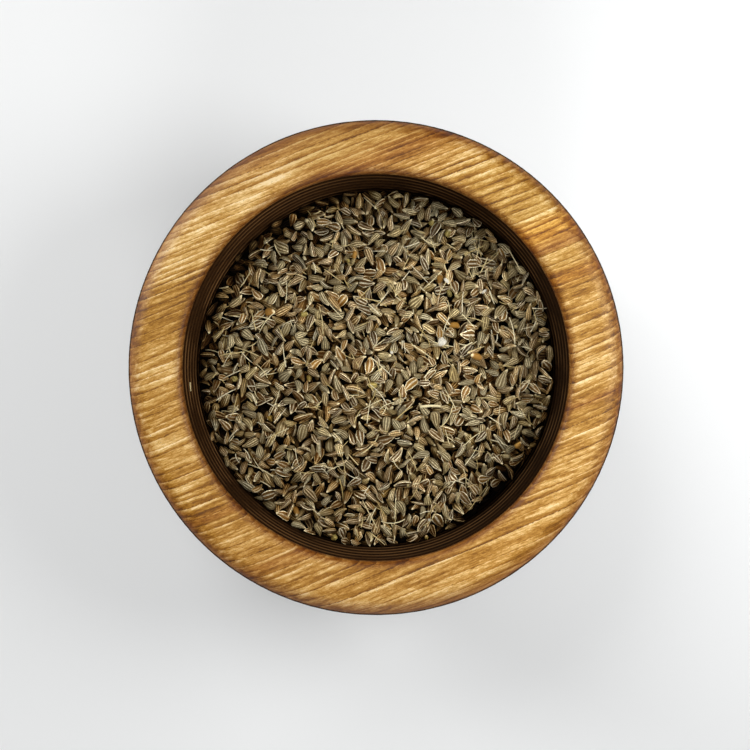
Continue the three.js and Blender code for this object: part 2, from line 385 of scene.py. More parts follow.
def woodMaterial(name, specular):
    # Softwood turned, brushed and oiled on the rim: golden early wood, brown late wood, satin, with its
    # sheen also painted into the colour as light streaks along the fibres.
    # The walls were stained dark walnut, and the stain has crept over the rim's two edges.
    material, tree = newMaterial(name)
    place = addNode(tree, "ShaderNodeTexCoord").outputs["Object"]
    turned = addNode(tree, "ShaderNodeVectorRotate", {"rotation_type": "Z_AXIS", "Angle": -grain["angle"]},
                     {"Vector": place}).outputs["Vector"]
    noises = {}
    for key, (often, detail, roughness) in woodPatterns.items():
        stretched = addNode(tree, "ShaderNodeVectorMath", {"operation": "MULTIPLY", 1: often},
                            {0: turned}).outputs["Vector"]
        noises[key] = addNode(tree, "ShaderNodeTexNoise", {"Scale": 1.0, "Detail": detail,
                              "Roughness": roughness}, {"Vector": stretched}).outputs["Fac"]
    tone, late, lateWood = growWood(tree, noises)
    fibrous = addNode(tree, "ShaderNodeValToRGB", None, {"Fac": tone})
    setRamp(fibrous, finish["tones"])
    speck = addNode(tree, "ShaderNodeMapRange", {"interpolation_type": "SMOOTHSTEP", "From Min": 0.66,
                    "From Max": 0.76, "To Max": 0.7}, {"Value": noises["flecks"]}).outputs["Result"]
    flecked = addNode(tree, "ShaderNodeMix", {"data_type": "RGBA", 7: fromHex(finish["fleck"])},
                      {0: speck, 6: fibrous.outputs["Color"]}).outputs[2]
    tint = tintGrowth(tree, turned, noises["paintedSheen"])
    golden = addNode(tree, "ShaderNodeMix", {"data_type": "RGBA", "blend_type": "MULTIPLY", "Factor": 1.0},
                     {6: flecked, 7: tint}).outputs[2]

    # where the wood is toasted and stained: by the rim's edges, on the walls and below
    split = addNode(tree, "ShaderNodeSeparateXYZ", None, {"Vector": place}).outputs
    level = addNode(tree, "ShaderNodeCombineXYZ", None, {"X": split["X"], "Y": split["Y"]}).outputs[0]
    radius = addNode(tree, "ShaderNodeVectorMath", {"operation": "LENGTH"}, {0: level}).outputs["Value"]
    seep = addNode(tree, "ShaderNodeMath", {"operation": "MULTIPLY_ADD", 1: finish["seep"],
                   2: -finish["seep"] / 2}, {0: noises["fibres"]}).outputs[0]
    reach = addNode(tree, "ShaderNodeMath", {"operation": "ADD"}, {0: radius, 1: seep}).outputs[0]
    atEdges = []
    for radii in (finish["toastedRadii"], finish["stainedRadii"]):
        inner, outer = [
            addNode(tree, "ShaderNodeMapRange", {"interpolation_type": "SMOOTHSTEP", "From Min": start,
                    "From Max": full}, {"Value": reach}).outputs["Result"]
            for start, full in radii
        ]
        atEdges.append(addNode(tree, "ShaderNodeMath", {"operation": "MAXIMUM"},
                               {0: inner, 1: outer}).outputs[0])
    toasted = addNode(tree, "ShaderNodeMix", {"data_type": "RGBA", "blend_type": "MULTIPLY",
                      7: fromHex(finish["toastedEdge"])}, {0: atEdges[0], 6: golden}).outputs[2]
    start, full = finish["stainedHeights"]
    under = addNode(tree, "ShaderNodeMapRange", {"interpolation_type": "SMOOTHSTEP", "From Min": start,
                    "From Max": full}, {"Value": split["Z"]}).outputs["Result"]
    stained = addNode(tree, "ShaderNodeMath", {"operation": "MAXIMUM"},
                      {0: atEdges[1], 1: under}).outputs[0]
    wall = stainAndShadeWall(tree, level, split["Z"], radius, noises, lateWood)
    colour = addNode(tree, "ShaderNodeMix", {"data_type": "RGBA"},
                     {0: stained, 6: toasted, 7: wall}).outputs[2]

    gloss = addNode(tree, "ShaderNodeMapRange", {"To Min": 0.44, "To Max": 0.62},
                    {"Value": noises["fibres"]}).outputs["Result"]
    dulled = addNode(tree, "ShaderNodeMath", {"operation": "MULTIPLY_ADD", 1: 0.35},
                     {0: stained, 2: gloss}).outputs[0]
    relief = addNode(tree, "ShaderNodeMath", {"operation": "MULTIPLY_ADD", 1: 0.8},
                     {0: late, 2: noises["fibres"]}).outputs[0]
    bump = addNode(tree, "ShaderNodeBump", {"Strength": 0.3, "Distance": 0.12 * mm}, {"Height": relief})
    surface = addNode(tree, "ShaderNodeBsdfPrincipled", {"IOR": 1.45, "Specular IOR Level": specular},
                      {"Base Color": colour, "Roughness": dulled, "Normal": bump.outputs["Normal"]})
    addNode(tree, "ShaderNodeOutputMaterial", None, {"Surface": surface.outputs["BSDF"]})
    return material


def addBowl():
    mesh = spunMesh("turnedBowl", bowlProfile(), bowl["segments"])
    wearGrain(mesh)
    oiled = woodMaterial("turnedOiledSoftwood", finish["oiledSpecular"])
    addPiece("turnedBowl", mesh, oiled, "bowl")
    # the stained walls are dull, because they were not oiled
    mesh.materials.append(woodMaterial("turnedStainedSoftwood", finish["stainedSpecular"]))
    for face in mesh.polygons:
        low = face.center.z < finish["dullHeight"]
        inside = math.hypot(face.center.x, face.center.y) < bowl["openingRadius"] - 0.1 * mm
        face.material_index = int(low or inside)


heap = {
    "edgeHeight": 36.2 * mm,
    "domeRise": 3.6 * mm,
    # where seeds lie lower, here and at the sags and lean below, the seed material also draws them darker as
    # painted shade
    "dipAngle": -0.81,  # by the wall the seeds fall short here
    "dipHalfAngle": 0.25,
    "dipWidth": 2.2 * mm,
    "dipDepth": 8.5 * mm,
    # how far the seeds fall short of the dome by the wall, in millimetres, every 30 degrees from +X
    "sags": (1.1, 0.0, 0.3, 1.7, 3.4, 3.5, 1.5, 0.5, 0.0, 0.6, 0.3, 1.0),
    "sagWidth": 4.2 * mm,
    "lean": 1.2 * mm,  # the side towards this angle lies lower
    "leanAngle": math.radians(218),
    "leanShares": (0.35, 0.5),  # in the middle, and how much more or less by the wall
}


def domeHeight(x, y):
    outwards = np.hypot(x, y) / wallRadius(heap["edgeHeight"])
    return heap["edgeHeight"] + heap["domeRise"] * (1 - outwards ** 2)


def heapHeight(x, y):
    edge = wallRadius(heap["edgeHeight"])
    radius = np.minimum(edge, np.hypot(x, y))
    along = (np.arctan2(y, x) - heap["dipAngle"]) / heap["dipHalfAngle"]
    inward = (edge - radius) / heap["dipWidth"]
    return domeHeight(x, y) - heap["dipDepth"] * np.exp(-along ** 2 - inward ** 2)


core = {
    "rings": 40,
    "around": 120,
    "gap": 0.35 * mm,  # between it and the bowl
    "lumps": 0.6 * mm,
    "lumpWidth": 1.3 * mm,
    # painted shade: the core is drawn almost black
    "paintedShade": [(0.35, "#0b0805"), (0.65, "#1d160c")],
}


def coreMesh():
    # the closed heap below the loose seeds: it stands on the bowl's floor and follows its wall
    gap = core["gap"]
    edge = wallRadius(heap["edgeHeight"]) - gap
    draftHeight = 30 * mm  # marks the points that are lifted to the heap's height below
    top = np.linspace((0, draftHeight), (edge, draftHeight), core["rings"])
    curveStart = (wallRadius(bowl["wallFoot"]) - gap, bowl["wallFoot"])
    corner = (wallRadius(bowl["hollowFloor"]) - gap, bowl["hollowFloor"] + gap)
    curve = bezier([curveStart, corner, (bowl["hollowFloorRadius"], corner[1])], 6)
    mesh = spunMesh("seedCore", np.vstack([top, [curveStart], curve, [(0, corner[1])]]), core["around"])
    for vert in mesh.vertices:
        if abs(vert.co.z - draftHeight) < 1e-6:
            lump = noise.noise(vert.co / core["lumpWidth"]) * core["lumps"]
            vert.co.z = float(heapHeight(vert.co.x, vert.co.y)) - pile["coreDepth"] - core["lumps"] + lump
    mesh.update()
    return mesh


def coreMaterial():
    # The heap's core below the loose seeds: matt and painted almost black, as painted shade between the
    # seeds.
    material, tree = newMaterial("shadedAniseCore")
    place = addNode(tree, "ShaderNodeTexCoord").outputs["Object"]
    # crumbs of 1 mm
    grit = addNode(tree, "ShaderNodeTexNoise", {"Scale": 900.0, "Detail": 3.0},
                   {"Vector": place}).outputs["Fac"]
    colour = addNode(tree, "ShaderNodeValToRGB", None, {"Fac": grit})
    setRamp(colour, core["paintedShade"])
    surface = addNode(tree, "ShaderNodeBsdfPrincipled", {"Roughness": 0.9, "Specular IOR Level": 0.0},
                      {"Base Color": colour.outputs["Color"]})
    addNode(tree, "ShaderNodeOutputMaterial", None, {"Surface": surface.outputs["BSDF"]})
    return material


pile = {
    "count": 9000,  # seeds that are dropped; those that would stand proud are left out
    "coreDepth": 5.6 * mm,  # the loose seeds lie this deep on the core
    "cell": 0.2 * mm,  # of the height map that the seeds settle on
    "tries": 6,  # places that a seed may roll to
    "steepest": 0.75,  # slope that a seed lies at
    "tumble": 0.3,  # how much a seed's slope differs from the ground's
    "nestle": 0.06 * mm,  # neighbours sink this far into each other's ribs
    "hidden": 1.7 * mm,  # a seed that lies this far under others is left out
    # how much length and width differ between seeds, and the least and most of each
    "lengths": (0.14, 0.68, 1.34),
    "widths": (0.1, 0.76, 1.26),
    "thicknesses": (0.85, 1.15),
    "rollSpread": 16,  # degrees
    "buried": 0.6,  # share of a seed's thickness that counts as below the heap's top
    "headroom": 0.2 * mm,  # seeds stay this far below the heap's top
}

# width is a share of the length, thickness of the width; rolls are degrees about the length
seedKinds = {
    "greyOlive": {"share": 0.29, "length": 4.05 * mm, "width": 0.45, "thickness": 0.72,
                  "rolls": (0, 0, 0, 90, -90)},
    "greyBrown": {"share": 0.27, "length": 4.05 * mm, "width": 0.44, "thickness": 0.72,
                  "rolls": (0, 0, 90, -90)},
    "openHalves": {"share": 0.26, "length": 3.95 * mm, "width": 0.48, "thickness": 0.58,
                   "rolls": (180, 180, 180, 150, 210)},
    "whole": {"share": 0.17, "length": 3.8 * mm, "width": 0.51, "thickness": 0.88,
              "rolls": (0, 60, 120)},
    "brown": {"share": 0.002, "length": 2.7 * mm, "width": 0.66, "thickness": 0.85,
              "rolls": (0, 90)},
    "buds": {"share": 0.006, "length": 1.8 * mm, "width": 0.86, "thickness": 0.9,
             "rolls": (0, 90)},
}

# the golden brown ones that stand out, in millimetres, and their turn in degrees
goldenPlaces = [(25.0, 2.8, 160), (-26.6, 14.1, 20), (15.9, 22.0, 90), (-5.3, 28.4, 70), (36.0, -19.5, 30)]


def newGround():
    # the height map that the seeds settle on, and the seed on top in each cell
    middle = int((wallRadius(heap["edgeHeight"]) + 4 * mm) / pile["cell"])
    axis = (np.arange(2 * middle + 1) - middle) * pile["cell"]
    x, y = np.meshgrid(axis, axis, indexing="ij")
    return {"middle": middle, "x": x, "y": y, "height": heapHeight(x, y) - pile["coreDepth"],
            "owner": np.full(x.shape, -1)}


def groundAt(ground, x, y, layer="height"):
    i = np.rint(np.asarray(x) / pile["cell"]).astype(int) + ground["middle"]
    j = np.rint(np.asarray(y) / pile["cell"]).astype(int) + ground["middle"]
    return ground[layer][i, j]


def coverGround(ground, number, x, y, z, yaw, half, slope):
    # raises the ground to the seed's back and marks whose it is
    a, b, c = half
    i0, i1 = (int(round((x + s * a) / pile["cell"])) + ground["middle"] + s for s in (-1, 1))
    j0, j1 = (int(round((y + s * a) / pile["cell"])) + ground["middle"] + s for s in (-1, 1))
    dx, dy = ground["x"][i0:i1, j0:j1] - x, ground["y"][i0:i1, j0:j1] - y
    u = (dx * math.cos(yaw) + dy * math.sin(yaw)) / a
    v = (-dx * math.sin(yaw) + dy * math.cos(yaw)) / b
    within = 1 - u ** 2 - v ** 2
    top = z + slope[0] * u * a + slope[1] * v * b + c * np.sqrt(np.clip(within, 0, 1))
    patch = ground["height"][i0:i1, j0:j1]
    higher = (within > 0) & (top > patch)
    patch[higher] = top[higher]
    ground["owner"][i0:i1, j0:j1][higher] = number


def sag(x, y):
    reach = wallRadius(heap["edgeHeight"])
    turn = np.degrees(np.arctan2(y, x)) % 360
    byWall = np.interp(turn, np.arange(13) * 30, (*heap["sags"], heap["sags"][0])) * mm
    fromWall = reach - np.hypot(x, y)
    down = (x * math.cos(heap["leanAngle"]) + y * math.sin(heap["leanAngle"])) / reach
    middle, more = heap["leanShares"]
    return byWall * np.exp(-(fromWall / heap["sagWidth"]) ** 2) + heap["lean"] * (middle + more * down)


def varied(spread):
    # a factor near 1; spread is how much it differs, its least and its most
    return np.clip(rng.normal(1, spread[0]), *spread[1:])


def settle(ground):
    # Drops seeds one by one on the ground. Each rolls to the lowest of a few places and lies down
    # along the slope there. Rows are kind, x, y, z, yaw, two slopes, roll, length, width, thickness.
    reach = wallRadius(heap["edgeHeight"])
    u, v = np.meshgrid(np.linspace(-0.9, 0.9, 9), np.linspace(-0.8, 0.8, 5), indexing="ij")
    inside = u ** 2 + v ** 2 < 1
    u, v = u[inside], v[inside]
    belly = np.sqrt(1 - u ** 2 - v ** 2)
    solver = np.linalg.pinv(np.column_stack([u, v, np.ones_like(u)]))[:2].T
    names = list(seedKinds)
    shares = np.array([seedKinds[name]["share"] for name in names])
    tries = pile["tries"]
    seeds = []
    drops = [(kind, None) for kind in rng.choice(len(names), pile["count"], p=shares / shares.sum())]
    drops += [(names.index("brown"), place) for place in goldenPlaces]
    for kind, spot in drops:
        sizes = seedKinds[names[kind]]
        length = sizes["length"] * varied(pile["lengths"])
        width = length * sizes["width"] * varied(pile["widths"])
        thick = width * sizes["thickness"] * rng.uniform(*pile["thicknesses"])
        roll = math.radians(rng.choice(sizes["rolls"]) + rng.normal(0, pile["rollSpread"]))
        a = length / 2
        b = math.hypot(width * math.cos(roll), thick * math.sin(roll)) / 2
        c = math.hypot(width * math.sin(roll), thick * math.cos(roll)) / 2
        radius = (reach - b) * np.sqrt(rng.random(tries))
        angle = 2 * math.pi * rng.random(tries)
        yaw = 2 * math.pi * rng.random(tries)
        x, y = radius * np.cos(angle), radius * np.sin(angle)
        if spot:
            x[:], y[:], yaw[:] = spot[0] * mm, spot[1] * mm, math.radians(spot[2])
        cy, sy = np.cos(yaw)[:, None], np.sin(yaw)[:, None]
        px = x[:, None] + a * u * cy - b * v * sy
        py = y[:, None] + a * u * sy + b * v * cy
        ends = radius + a * np.abs(np.cos(yaw - angle)) + 0.5 * b * np.abs(np.sin(yaw - angle))
        under = groundAt(ground, px, py)
        slopes = under @ solver / (a, b) + rng.normal(0, pile["tumble"], (tries, 2))
        slopes = np.clip(slopes, -pile["steepest"], pile["steepest"])
        lie = slopes[:, :1] * a * u + slopes[:, 1:] * b * v
        rest = (under - lie + c * belly).max(1) - pile["nestle"]
        over = np.where(ends > reach, 1.0, 0)  # those that would stick into the wall are kept out
        score = rest - pile["buried"] * c - heapHeight(x, y) + sag(x, y) + over
        best = int(np.argmin(score))
        if score[best] > -pile["headroom"] and spot is None:
            continue
        place = (x[best], y[best], rest[best], yaw[best])
        coverGround(ground, len(seeds), *place, (a, b, c), slopes[best])
        seeds.append((kind, *place, *slopes[best], roll, length, width, thick))
    print(f"settled {len(seeds)} seeds of {pile['count']}")
    return np.array(seeds)


def frames(yaw, su, sv, roll):
    # a seed's own axes in the bowl: along it, across it and out of its back
    e1 = np.column_stack([np.cos(yaw), np.sin(yaw), su])
    e1 /= np.linalg.norm(e1, axis=1)[:, None]
    e2 = np.column_stack([-np.sin(yaw), np.cos(yaw), sv])
    e2 -= (e2 * e1).sum(1)[:, None] * e1
    e2 /= np.linalg.norm(e2, axis=1)[:, None]
    e3 = np.cross(e1, e2)
    c, s = np.cos(roll)[:, None], np.sin(roll)[:, None]
    return e1, c * e2 + s * e3, -s * e2 + c * e3


def takeShape(bm):
    # the corners and faces of a shape that is copied many times
    bm.verts.index_update()
    co = np.array([v.co for v in bm.verts])
    faces = [[v.index for v in face.verts] for face in bm.faces]
    bm.free()
    return co, faces


def placeCopies(local, axes, x, y, z):
    e1, e2, e3 = axes
    co = local[:, :, :1] * e1[:, None] + local[:, :, 1:2] * e2[:, None] + local[:, :, 2:] * e3[:, None]
    return co + np.column_stack([x, y, z])[:, None]


def joinedMesh(name, co, faces, attributes):
    # co is (copies, corners, 3); every copy has the same faces
    copies, corners = co.shape[:2]
    sizes = np.array([len(f) for f in faces])
    loops = np.concatenate([np.array(f) for f in faces])
    allLoops = (loops[None, :] + corners * np.arange(copies)[:, None]).ravel()
    starts = np.concatenate([[0], np.cumsum(np.tile(sizes, copies))[:-1]])
    mesh = bpy.data.meshes.new(name)
    mesh.vertices.add(copies * corners)
    mesh.vertices.foreach_set("co", co.astype(np.float32).ravel())
    mesh.loops.add(len(allLoops))
    mesh.loops.foreach_set("vertex_index", allLoops.astype(np.int32))
    mesh.polygons.add(len(starts))
    mesh.polygons.foreach_set("loop_start", starts.astype(np.int32))
    mesh.update(calc_edges=True)
    mesh.validate()
    mesh.shade_smooth()
    for key, values in attributes.items():
        setAttribute(mesh, key, values)
    return mesh


seedForm = {
    # how full a seed is at each ring of corners, from the round end to the beak, and where the rings are
    "anise": (0, 0.60, 0.90, 1.0, 0.87, 0.51, 0.20, 0),
    "brown": (0, 0.60, 0.90, 1.0, 0.92, 0.66, 0.34, 0),
    "buds": (0, 0.62, 0.95, 1.0, 0.94, 0.70, 0.38, 0),
    "rings": (0, 0.03, 0.13, 0.34, 0.58, 0.80, 0.95, 1.0),
    "ribs": {"whole": 5, "buds": 3, "brown": 0.5},  # on each side
    "arch": 0.13,  # of the back, and as much again more or less
    "hook": 0.13,
    "taper": 0.22,
    "roughness": 0.085,
}


def seedTemplate(kind):
    # Twelve sides and seven bands, from the round end at t = 0 to the beak at t = 1.
    # Ribs run where "around" is a whole number.
    bm = bmesh.new()
    bmesh.ops.create_uvsphere(bm, u_segments=12, v_segments=7, radius=1)
    co, faces = takeShape(bm)
    ring = np.rint(np.arccos(np.clip(co[:, 2], -1, 1)) / (math.pi / 7)).astype(int)
    corner = np.rint(np.arctan2(co[:, 1], co[:, 0]) / (math.pi / 6)).astype(int) % 12
    t = np.array(seedForm["rings"])[ring]
    w = np.array(seedForm.get(kind, seedForm["anise"]))[ring]
    if kind in ("whole", "brown", "buds"):
        r = np.where(corner % 2 == 0, 1, 0.97 if kind == "brown" else 0.93)
        y, z = r * np.cos(corner * math.pi / 6), r * np.sin(corner * math.pi / 6)
        around = np.minimum(corner, 12 - corner) / 6 * seedForm["ribs"][kind]
        flat = np.zeros(len(co))
    else:
        # half a fruit: corners 0 to 8 run over its back from brim to brim, 9 to 11 over its flat face
        back = corner <= 8
        angle = np.where(back, corner * math.pi / 8, 0)
        r = np.where(back & (corner % 2 == 1), 0.92, 1)
        y = np.where(back, r * np.cos(angle), (corner - 10) * 0.52)
        z = np.where(back, 2 * r * np.sin(angle) - 1, np.where(corner == 10, -0.92, -0.66))
        brim = (corner == 0) | (corner == 8)
        z = np.where(brim, -0.92, z)
        flat = np.where(brim, 0.5, np.where(back, 0, 1))
        around = np.where(back, 3 - 3 * np.abs(corner - 4) / 4, np.where(corner == 10, -1, -0.5))
    shape = np.column_stack([0.5 - t, -y * w * 0.5, z * w * 0.5])
    return shape, faces, around, flat, t


def seedMesh(kind, rows):
    shape, faces, around, flat, t = seedTemplate(kind)
    _, x, y, z, yaw, su, sv, roll, length, width, thick = rows.T
    n = len(rows)
    flip = rng.random(n) < 0.5
    yaw = yaw + np.where(flip, math.pi, 0)
    su, sv = np.where(flip, -su, su), np.where(flip, -sv, sv)
    # the back is arched, and the beak is often bent to one side
    arch = rng.normal(seedForm["arch"], seedForm["arch"], n)[:, None] * (4 * (t - 0.5) ** 2 - 0.4) * 0.5
    hook = rng.normal(0, seedForm["hook"], n)[:, None] * (np.clip(t - 0.4, 0, 1) ** 2 * 2.2 - 0.1)
    local = np.empty((n, len(shape), 3))
    local[:, :, 0] = shape[:, 0] * length[:, None]
    local[:, :, 1] = shape[:, 1] * width[:, None] + hook * length[:, None]
    local[:, :, 2] = shape[:, 2] * thick[:, None] - arch * length[:, None]
    taper = rng.normal(0, seedForm["taper"], n)[:, None] * (0.5 - t)
    uneven = seedForm["roughness"] * rng.normal(size=(n, len(shape)))
    local[:, :, 1:] *= (1 + taper + uneven)[:, :, None]
    co = placeCopies(local, frames(yaw, su, sv, roll), x, y, z)
    each = np.ones(len(shape))
    # sunk, how far each corner lies below the heap's dome in millimetres, is the mask of the painted shade
    # in the seed material
    attributes = {"around": np.tile(around, n), "flat": np.tile(flat, n), "beak": np.tile(t, n),
                  "sunk": ((domeHeight(x, y)[:, None] - co[:, :, 2]) / mm).ravel()}
    for name in ("tone", "warmth", "bold"):
        attributes[name] = np.outer(rng.random(n), each).ravel()
    return joinedMesh(f"{kind}Seeds", co, faces, attributes)


# cool and warm furrows, then cool and warm ribs
seedColours = {
    "greyOlive": ("#62573c", "#685430", "#dcd2b0", "#e0cd9c"),
    "greyBrown": ("#604a2b", "#674c26", "#d8c59e", "#e2c78e"),
    "openHalves": ("#624c2d", "#694e28", "#ecdfb8", "#f0dcaa"),
    "whole": ("#61573f", "#675430", "#d0c198", "#d4c18a"),
    "brown": ("#7d5a28", "#9a7030", "#a5803f", "#ba9048"),
    "buds": ("#746838", "#80703a", "#a89a60", "#b5a364"),
}
# of a half's flat face, from the many dark ones to the few orange ones
faceColours = [(0.0, "#432f16"), (0.6, "#5f441e"), (0.92, "#765628"), (0.98, "#8a672e")]
creamColours = ("#f8efce", "#e6d6aa")  # of the brim round that face, and of the beak
# painted shade that the colours are multiplied with, from the top of the heap down: deeper seeds are drawn
# darker, as if shaded by those above
depthShadeColours = [(0.0, "#ffffff"), (0.22, "#dac6a4"), (0.48, "#866c4a"), (0.8, "#302416"), (1.0, "#130e09")]


def seedMaterial(kind):
    # Dried anise fruits: dull, finely downy, thin pale ribs over darker furrows.
    material, tree = newMaterial(f"driedAnise{kind[0].upper()}{kind[1:]}")
    around, flat, beak, sunk, tone, warmth, bold = [
        addNode(tree, "ShaderNodeAttribute", {"attribute_name": name}).outputs["Fac"]
        for name in ("around", "flat", "beak", "sunk", "tone", "warmth", "bold")
    ]
    place = addNode(tree, "ShaderNodeTexCoord").outputs["Object"]
    # the down is 0.05 mm fine and is drawn as 0.25 mm specks
    down = addNode(tree, "ShaderNodeTexNoise", {"Scale": 3800.0, "Detail": 2.0},
                   {"Vector": place}).outputs["Fac"]
    coolLow, warmLow, coolHigh, warmHigh = seedColours[kind]
    low = addNode(tree, "ShaderNodeMix", {"data_type": "RGBA", 6: fromHex(coolLow), 7: fromHex(warmLow)},
                  {0: warmth}).outputs[2]
    high = addNode(tree, "ShaderNodeMix", {"data_type": "RGBA", 6: fromHex(coolHigh), 7: fromHex(warmHigh)},
                   {0: warmth}).outputs[2]
    face = addNode(tree, "ShaderNodeValToRGB", None, {"Fac": warmth})
    setRamp(face, faceColours)
    furrow = addNode(tree, "ShaderNodeMix", {"data_type": "RGBA"},
                     {0: flat, 6: low, 7: face.outputs["Color"]}).outputs[2]
    ridge = addNode(tree, "ShaderNodeMix", {"data_type": "RGBA", 7: fromHex(creamColours[0])},
                    {0: flat, 6: high}).outputs[2]

    # ribs run where "around" is a whole number, and the brim where "flat" is a half
    fromRib = addNode(tree, "ShaderNodeMath", {"operation": "PINGPONG", 1: 0.5}, {0: around}).outputs[0]
    rib = addNode(tree, "ShaderNodeMapRange", {"interpolation_type": "SMOOTHSTEP", "From Min": 0.27,
                  "From Max": 0.07}, {"Value": fromRib}).outputs["Result"]
    onBack = addNode(tree, "ShaderNodeMath", {"operation": "MULTIPLY_ADD", 1: -0.45, 2: 1.0},
                     {0: flat}).outputs[0]
    rib = addNode(tree, "ShaderNodeMath", {"operation": "MULTIPLY"}, {0: rib, 1: onBack}).outputs[0]
    brim = addNode(tree, "ShaderNodeMath", {"operation": "COMPARE", 1: 0.5, 2: 0.2}, {0: flat}).outputs[0]
    line = addNode(tree, "ShaderNodeMath", {"operation": "MAXIMUM"}, {0: rib, 1: brim}).outputs[0]
    patchy = addNode(tree, "ShaderNodeMapRange", {"From Min": 0.32, "From Max": 0.6, "To Min": 0.4},
                     {"Value": down}).outputs["Result"]
    boldness = addNode(tree, "ShaderNodeMapRange", {"From Max": 0.7, "To Min": 0.3},
                       {"Value": bold}).outputs["Result"]
    shows = addNode(tree, "ShaderNodeMath", {"operation": "MAXIMUM"}, {0: boldness, 1: brim}).outputs[0]
    crest = addNode(tree, "ShaderNodeMath", {"operation": "MULTIPLY"}, {0: line, 1: patchy}).outputs[0]
    clear = addNode(tree, "ShaderNodeMath", {"operation": "MULTIPLY"}, {0: crest, 1: shows}).outputs[0]
    ribbed = addNode(tree, "ShaderNodeMix", {"data_type": "RGBA"},
                     {0: clear, 6: furrow, 7: ridge}).outputs[2]
    tip = addNode(tree, "ShaderNodeMapRange", {"From Min": 0.80, "From Max": 0.97},
                  {"Value": beak}).outputs["Result"]
    tipped = addNode(tree, "ShaderNodeMix", {"data_type": "RGBA", 7: fromHex(creamColours[1])},
                     {0: tip, 6: ribbed}).outputs[2]

    shade = addNode(tree, "ShaderNodeMapRange", {"To Min": 0.95, "To Max": 2.0},
                    {"Value": tone}).outputs["Result"]
    specks = addNode(tree, "ShaderNodeMapRange", {"From Min": 0.3, "From Max": 0.7, "To Min": 0.8,
                     "To Max": 1.2}, {"Value": down}).outputs["Result"]
    light = addNode(tree, "ShaderNodeMath", {"operation": "MULTIPLY"}, {0: shade, 1: specks}).outputs[0]
    lit = addNode(tree, "ShaderNodeVectorMath", {"operation": "SCALE"},
                  {0: tipped, "Scale": light}).outputs[0]
    # painted shade: seeds that lie 0.4 to 5 mm under the heap's top are drawn ever browner and darker, as
    # shade falls between and under the seeds above
    depth = addNode(tree, "ShaderNodeMapRange", {"From Min": 0.4, "From Max": 5.0},
                    {"Value": sunk}).outputs["Result"]
    paintedShade = addNode(tree, "ShaderNodeValToRGB", None, {"Fac": depth})
    setRamp(paintedShade, depthShadeColours)
    colour = addNode(tree, "ShaderNodeMix", {"data_type": "RGBA", "blend_type": "MULTIPLY", "Factor": 1.0},
                     {6: lit, 7: paintedShade.outputs["Color"]}).outputs[2]
    bump = addNode(tree, "ShaderNodeBump", {"Strength": 0.5, "Distance": 0.12 * mm}, {"Height": line})
    dull = addNode(tree, "ShaderNodeMapRange", {"From Max": 0.3, "To Min": 0.55, "To Max": 0.95},
                   {"Value": depth}).outputs["Result"]
    surface = addNode(tree, "ShaderNodeBsdfPrincipled", {"IOR": 1.4, "Specular IOR Level": 0.2},
                      {"Base Color": colour, "Roughness": dull, "Normal": bump.outputs["Normal"]})
    addNode(tree, "ShaderNodeOutputMaterial", None, {"Surface": surface.outputs["BSDF"]})
    return material


stalks = {
    "loose": 200,
    "forked": 30,  # of the loose ones
    "held": 150,  # still on a seed's beak
    "length": 4.2 * mm,
    "lengths": (0.35, 0.45, 1.9),  # how much the length differs, its least and its most
    "thickness": 0.24 * mm,
    "thicknesses": (0.75, 1.3),
    "bend": 0.05,  # of the length
    "placedBend": 0.03,
    "steepest": 0.6,
    "lift": 0.9,  # of the height of the highest seed under it, because it sinks in a little
    "startGap": 2 * mm,  # from the wall
    "endGap": 0.5 * mm,
    "wallGap": 0.4 * mm,  # nearer to the wall there are no seeds to lie on
    "heldCells": 60,  # the least that shows of a seed with a stalk, in cells of the height map
    "heldGap": 5 * mm,  # from the wall
    "heldAt": 0.46,  # of the seed's length, from its middle
    "heldLength": (0.8 * mm, 2.3 * mm),
    "heldThickness": 0.9,  # of the thickness of a loose one
    "heldRise": (0.12, 0.2),  # of the length, on average and give or take
    "heldTurn": 0.25,  # radians
    "forkAt": (0.35, 0.6),  # of the length
    "forkTurn": (0.45, 0.8),  # radians
    "forkLength": 0.6,  # of the stalk's
    "forkThickness": 0.85,
    # the ones that stand out, from end to end on the heap, in millimetres, and their thickness
    "placed": [
        ((11.1, -9.8), (16.2, -9.6), 0.76), ((-1.9, 15.9), (1.1, 12.9), 0.42),
        ((-1.4, 2.7), (3.9, -2.1), 0.30), ((-40.2, -8.2), (-35.2, -5.2), 0.34),
        ((-37.4, -18.5), (-34.1, -14.9), 0.34), ((28.4, 19.1), (30.0, 15.6), 0.36),
        ((17.4, 10.5), (19.8, 7.6), 0.32), ((38.9, 9.1), (40.8, 12.8), 0.32),
        ((39.4, 15.0), (44.4, 15.3), 0.32), ((-30.9, -6.7), (-29.9, -10.0), 0.34),
    ],
    "onWall": ((-45.75, -3.6, 43.9), (-45.6, -5.8, 43.9), 0.45),
    "tones": [(0.0, "#c8ae6e"), (0.4, "#e8d296"), (0.75, "#f8eabb"), (1.0, "#fff5d4")],
}


def layStalk(ground, x, y, yaw, length, thick, bend):
    # lies on the highest seeds under it
    t = np.linspace(0, 1, 9)
    px, py = x + t * length * math.cos(yaw), y + t * length * math.sin(yaw)
    limit = wallRadius(heap["edgeHeight"]) - stalks["wallGap"]
    shrink = np.minimum(1, limit / np.hypot(px, py))
    under = groundAt(ground, px * shrink, py * shrink)
    slope, level = np.polyfit(t, under, 1)
    steepest = stalks["steepest"] * length
    slope = float(np.clip(slope, -steepest, steepest))
    lift = (under - level - slope * t).max()
    z = level + stalks["lift"] * lift + 0.3 * thick
    return (x, y, z, yaw, slope, length, thick, bend, rng.random())


